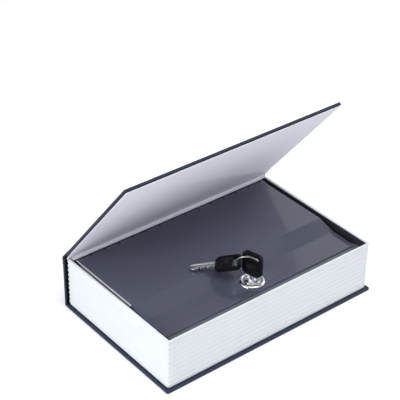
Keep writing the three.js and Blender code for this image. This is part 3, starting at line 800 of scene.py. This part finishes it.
def make_curl():
    """The lid's rear edge, rolled round the hinge, with the slits between its knuckles."""
    level = ((-2.8, 1.71), (-1.3, 1.72), (0.1, 1.72))
    turned_down = ((0.9, 1.66), (1.4, 1.46), (1.75, 1.1), (1.95, 0.6), (1.98, 0.1))
    path = smooth_path([(PIN.y + y, PIN.z + z) for y, z in level + turned_down], count=28)
    curl = sweep_along_x("lid_curl", thick_path(path, thickness=-0.4), LID_LOW.x, LID.x, POWDER_LID)
    slits, first, pitch = 14, -95.6, 15.55
    settle(curl, [cut(curl, slit_cutter(first + pitch * k)) for k in range(slits)])
    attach(curl, "lid")


stand_in(make_lid(), "lid", "lid_panel")
make_curl()


# Split ring
def make_ring():
    """Two turns of flattened wire, lying side by side, with a joggle where they cross over."""
    centre, normal = joint_place("ring_swing"), Vector(JOINTS["ring_swing"]["axis"]).normalized()
    first = normal.cross(Vector((0, 0, 1))).normalized()
    second = normal.cross(first)
    radius, wire_across, wire_along = 10.726, 0.34, 0.24
    turns, steps, sides, start = 2.0, 192, 12, 2.4
    joggle_start, joggle_length, gap = 0.93, 0.14, 0.5
    thin_end, thin_steps = 0.45, 5
    rows = []
    for i in range(steps + 1):
        turned = i / steps * turns
        angle = 2 * math.pi * turned + start
        crossed = share_of(turned, joggle_start, joggle_length)
        shift = gap * (crossed * crossed * (3 - 2 * crossed) - 0.5)
        out = first * math.cos(angle) + second * math.sin(angle)
        middle = centre + out * radius + normal * shift
        taper = min(1.0, thin_end + min(i, steps - i) / thin_steps)
        across, along = out * wire_across * taper, normal * wire_along * taper
        rows.append([middle + across * math.cos(a) + along * math.sin(a) for a in turn(sides)])
    return solid("ring_coil", rows, STEEL, sharp=40)


stand_in(make_ring(), "ring", "split_ring")


# Keys
BOW_HALF, BOW_TOP, BOW_THICK = 10.0, KEY_TOP.z - KEY_LOW.z, 3.6
SLOT_LOW, SLOT_HIGH = 15.9, 20.5            # the ring's slot in the bow
BLADE_HALF, BLADE_LENGTH, BLADE_THICK = 4.0, 24.0, 2.2
KEY_TURN = math.radians(-75)
SPARE_TIP = Vector((-38.37, -3.92, 53.85))


def bow_outline(inset):
    """The bow's outline, inset mm inside its edge."""
    half, top, cut_in, radius = BOW_HALF - inset, BOW_TOP - inset, 3.2 - 0.41 * inset, 4.0 - 0.6 * inset
    points = [(cut_in - half, inset), (half - cut_in, inset), (half, inset + cut_in)]
    points += quarter(half - radius, top - radius, radius, radius, 0, steps=8)
    points += quarter(radius - half, top - radius, radius, radius, 90, steps=8)
    return points + [(-half, inset + cut_in)]


def block_in_key(name, y0, y1, half, z0, z1, radius, middle=0.0):
    """A rounded block across the key, to cut or to add."""
    face = outline(middle - half, middle + half, z0, z1, radius, steps=5)
    return plate(name, face, y0, y1, PLASTIC)


def make_bow(name, place):
    """The bow: a sunk face on both sides, with a pad and a lip round the slot."""
    bow = plate(name, bow_outline(0.0), -BOW_THICK / 2, BOW_THICK / 2, PLASTIC)
    rim, depth, well_half = 1.5, 0.45, 1.5
    inside, pad_face, lip_face = 1.0, 1.72, 1.66
    lip_low, lip_high = SLOT_LOW - 1.2, SLOT_HIGH + 1.2
    helpers = []
    for side in (-1, 1):
        middle = side * (BOW_THICK / 2 - depth + well_half)
        well = plate("well", bow_outline(rim), middle - well_half, middle + well_half, PLASTIC)
        y0, y1 = side * inside, side * pad_face
        pad = block_in_key("pad", y0, y1, half=5.6, z0=6.0, z1=12.6, radius=0.9)
        y1 = side * lip_face
        lip = block_in_key("lip", y0, y1, half=8.3, z0=lip_low, z1=lip_high, radius=2.4)
        helpers += [cut(bow, well), cut(bow, pad, "UNION"), cut(bow, lip, "UNION")]
    slot = block_in_key("slot", -4, 4, half=7.25, z0=SLOT_LOW, z1=SLOT_HIGH, radius=1.5)
    helpers.append(cut(bow, slot))
    ease_edges(bow, width=0.3, angle=35)
    settle(bow, helpers)
    bow.matrix_world = place
    return bow


def blade_outline(side):
    """The blade with its tip and five cuts, which lie towards +X where side is 1."""
    start, last_cut = -0.3, 0.86 * BLADE_LENGTH
    points = [(-BLADE_HALF, start), (-BLADE_HALF, -20.2), (-2.9, -22.4), (-1.2, -BLADE_LENGTH)]
    points += [(1.2, -BLADE_LENGTH), (3.0, -22.2), (BLADE_HALF, -20.6)]
    for share, depth in ((0.72, 2.08), (0.58, 1.44), (0.44, 2.4), (0.3, 0.96), (0.16, 1.92)):
        along, floor = -last_cut * share, BLADE_HALF - depth
        points += [(BLADE_HALF, along - 1.35), (floor, along - 0.35), (floor, along + 0.35)]
        points.append((BLADE_HALF, along + 1.35))
    return [(side * x, z) for x, z in points + [(BLADE_HALF, start)]]


def make_blade(name, place, side):
    """A blade with a milled groove on each face and a tang that goes into the bow."""
    blade = plate(name, blade_outline(side), -BLADE_THICK / 2, BLADE_THICK / 2, NICKEL)
    bottom, outside, off_centre = 0.65, 3.0, 1.4
    helpers = []
    for face in (1, -1):
        y0, y1, middle = face * bottom, face * outside, -off_centre * face * side
        mill = block_in_key("mill", y0, y1, half=0.8, z0=-26.0, z1=-1.4, radius=0.3, middle=middle)
        helpers.append(cut(blade, mill))
    tang = block_in_key("tang", -0.6, 0.6, half=3.0, z0=-2.0, z1=5.0, radius=0.3)
    helpers.append(cut(blade, tang, "UNION"))
    ease_edges(blade, width=0.14, angle=35, segments=2)
    settle(blade, helpers)
    blade.matrix_world = place
    return blade


def key_place():
    """The key in the lock."""
    foot = Vector((LOCK.x, LOCK.y, KEY_LOW.z))
    return Matrix.Translation(foot * MM) @ Matrix.Rotation(KEY_TURN, 4, "Z")


def spare_place():
    """The spare key, from the ring in its slot to its tip on the lid."""
    hole = joint_place("spare_key_swing")
    axis = (hole - SPARE_TIP).normalized()
    side = Vector((0, 0, 1)).cross(axis).normalized()
    place = Matrix((side, axis.cross(side), axis)).transposed().to_4x4()
    place.translation = (hole - axis * (SLOT_LOW + SLOT_HIGH) / 2) * MM
    return place


for body, place, side in (("key", key_place(), 1), ("spare_key", spare_place(), -1)):
    bow = make_bow(body + "_bow_moulded", place)
    blade = make_blade(body + "_blade_cut", place, side)
    stand_in(bow, body, body + "_bow")
    stand_in(blade, body, body + "_blade")


# Lock body
LOCK_RADIUS = (LOCK_TOP.x - LOCK_LOW.x) / 2


def crown():
    """The bezel's section: a round shoulder, a flat sunk ring and a low lip round the plug."""
    shoulder = ((0, 0.02), (-0.06, 0.35), (0.05, 0.8), (0.4, 1.35), (0.95, 1.8), (1.6, 2.1), (2.3, 2.2))
    sunk_ring = ((2.85, 2.1), (3.2, 1.8), (3.4, 1.4), (3.65, 1.3), (4.7, 1.3), (4.95, 1.45))
    lip = ((5.05, 1.75), (5.25, 1.9), (5.5, 1.85))
    return [(LOCK_RADIUS - inward, LOW_FLAT + rise) for inward, rise in shoulder + sunk_ring + lip]


def lock_profile():
    """The lock's closed section: bore, threaded barrel and bezel."""
    bore, barrel, root, chamfer, bottom = 6.5, 9.4, 9.1, 0.4, LOCK_LOW.z
    threads, pitch, thread_start = 16, 1.0, bottom + 1.8
    points = [(bore, bottom), (barrel - chamfer, bottom), (barrel, bottom + chamfer)]
    for k in range(threads):
        z = thread_start + pitch * k
        points += [(barrel, z), (barrel, z + 0.25), (root, z + 0.5), (root, z + 0.65)]
    return points + [(barrel, LOW_FLAT - 1.2), (barrel, LOW_FLAT + 0.02)] + crown()


def make_lock():
    """The lock's section, turned about its upright axis."""
    rows = []
    for a in turn(96):
        rows.append([(LOCK.x + r * math.cos(a), LOCK.y + r * math.sin(a), z) for r, z in lock_profile()])
    return make("lock_body", rows, bands(rows, round_rows=True), CHROME)


stand_in(make_lock(), "lid", "lock_housing")


# Carried-over metal, each node with its material and how far its edges are eased, in mm
CARRIED = {
    # the hinge leaves take near-black paint, part painted shade for the slits
    "steel_tray": (POWDER_TRAY, 0.25), "lock_strike": (ZINC, 0.2), "tray_hinge_leaf": (HINGE_PAINT_AND_SHADE, 0),
    "hinge_pin": (STEEL, 0), "lid_hinge_leaf": (HINGE_PAINT_AND_SHADE, 0), "lock_washer": (ZINC, 0),
    "lock_nut": (ZINC, 0.3), "lock_plug": (CHROME, 0.15), "lock_cam": (ZINC, 0.2), "cam_screw": (ZINC, 0.2),
}
for name, (material, width) in CARRIED.items():
    for place in NODES[name].material_slots:
        place.material = material
    if width:
        ease_edges(NODES[name], width, harden=False)


# Camera
def set_camera():
    """The camera that was fitted to the photo."""
    azimuth, elevation, roll = math.radians(-39.12), math.radians(33.24), math.radians(0.81)
    target, distance = Vector((0.06122, 0.10499, 0.030)), 1.30766
    level = math.cos(elevation)
    backward = Vector((math.sin(azimuth) * level, -math.cos(azimuth) * level, math.sin(elevation)))
    right = (-backward).cross(Vector((0, 0, 1))).normalized()
    up = right.cross(-backward)
    rolled_right = right * math.cos(roll) + up * math.sin(roll)
    rolled_up = up * math.cos(roll) - right * math.sin(roll)
    data = bpy.data.cameras.new("photo_camera")
    data.lens = 117.93
    data.sensor_width = 36
    data.clip_start = 0.05
    data.clip_end = 20
    camera = add_object("photo_camera", data)
    place = Matrix((rolled_right, rolled_up, backward)).transposed().to_4x4()
    place.translation = target + backward * distance
    camera.matrix_world = place
    bpy.context.scene.camera = camera


# World and floor
PALE_SKY, SKY_ABOVE, SKY_TOP = (0.955, 0.965, 1), (0.4, 0.41, 0.44), (0.3, 0.31, 0.34)
ROOM = (0.16, 0.165, 0.18)                  # what the lid mirrors towards the camera
ROOM_TOWARD = (-0.528, -0.649, 0.548)


def make_world(level):
    """A pale sky, darker overhead and where the lid mirrors the room. level is its light on the object."""
    world = bpy.data.worlds.new("studio")
    bpy.context.scene.world = world
    world.use_nodes = True
    studio = Shading(world.node_tree)
    background = world.node_tree.nodes["Background"]
    studio.feed(background.inputs["Strength"], studio.spread(studio.seen_as_white(), level, 1.0))
    direction = studio.add("TexCoord").outputs["Generated"]
    stops = [(0.0, PALE_SKY), (0.64, PALE_SKY), (0.74, SKY_ABOVE), (1.0, SKY_TOP)]
    sky = studio.ramp(studio.axes(direction)["Z"], stops)
    toward = studio.add("VectorMath", {0: direction, 1: ROOM_TOWARD}, operation="DOT_PRODUCT")
    room = studio.spread(toward.outputs["Value"], 0.0, 1.0, 0.66, 0.8)
    studio.feed(background.inputs["Color"], studio.mixed(room, sky, ROOM))


def floor_material():
    """A pale floor that keeps the object's shadow and turns white further out."""
    material = bpy.data.materials.new("floor_white")
    material.use_nodes = True
    floor = Shading(material.node_tree)
    material.node_tree.nodes.remove(material.node_tree.nodes["Principled BSDF"])
    seen = floor.seen_as_white()
    diffuse = floor.add("BsdfDiffuse", {"Color": (0.86, 0.86, 0.87)})
    glow = floor.add("Emission", {"Color": (1, 1, 1), "Strength": floor.spread(seen, 0.0, 0.34)})
    near = floor.add("AddShader", {0: diffuse.outputs[0], 1: glow.outputs[0]})
    place = floor.add("TexCoord").outputs["Object"]
    distance = floor.add("VectorMath", {0: place}, operation="LENGTH").outputs["Value"]
    far = floor.times(floor.spread(distance, 0.0, 1.0, 0.35, 1.3), seen)
    white = floor.add("Emission")
    both = floor.add("MixShader", {0: far, 1: near.outputs[0], 2: white.outputs[0]})
    floor.feed(material.node_tree.nodes["Material Output"].inputs["Surface"], both.outputs[0])
    return material


def make_floor():
    size, below = 6.0, 0.0002
    mesh = bpy.data.meshes.new("floor")
    points = [(-size, -size, 0), (size, -size, 0), (size, size, 0), (-size, size, 0)]
    mesh.from_pydata(points, [], [(0, 1, 2, 3)])
    mesh.materials.append(floor_material())
    floor = add_object("floor", mesh)
    floor.location.z = -below


# Soft lights, each with its place, what it faces, its size in metres and its power in watts
LIGHTS = {
    "left_box": ((-1.9, -0.1, 0.75), (0, 0, 0.03), (1.4, 1.0), 23),
    "top_box": ((-0.1, -0.7, 1.9), (0, 0, 0.05), (1.8, 1.4), 24),
    "front_box": ((0.6, -1.9, 0.5), (0, 0, 0.1), (1.6, 0.9), 4.4),
    "right_box": ((1.7, -0.3, 0.9), (0.1, 0, 0.05), (1.2, 1.0), 9),
}


def soft_box(name, place, aim, size, power):
    """A rectangular light that faces a point."""
    data = bpy.data.lights.new(name, "AREA")
    data.shape = "RECTANGLE"
    data.size, data.size_y = size
    data.energy = power
    lamp = add_object(name, data)
    lamp.location = place
    lamp.rotation_euler = (Vector(aim) - Vector(place)).to_track_quat("-Z", "Y").to_euler()


set_camera()
make_world(level=0.5)
make_floor()
for name, setting in LIGHTS.items():
    soft_box(name, *setting)
bpy.context.scene.view_settings.view_transform = "Standard"
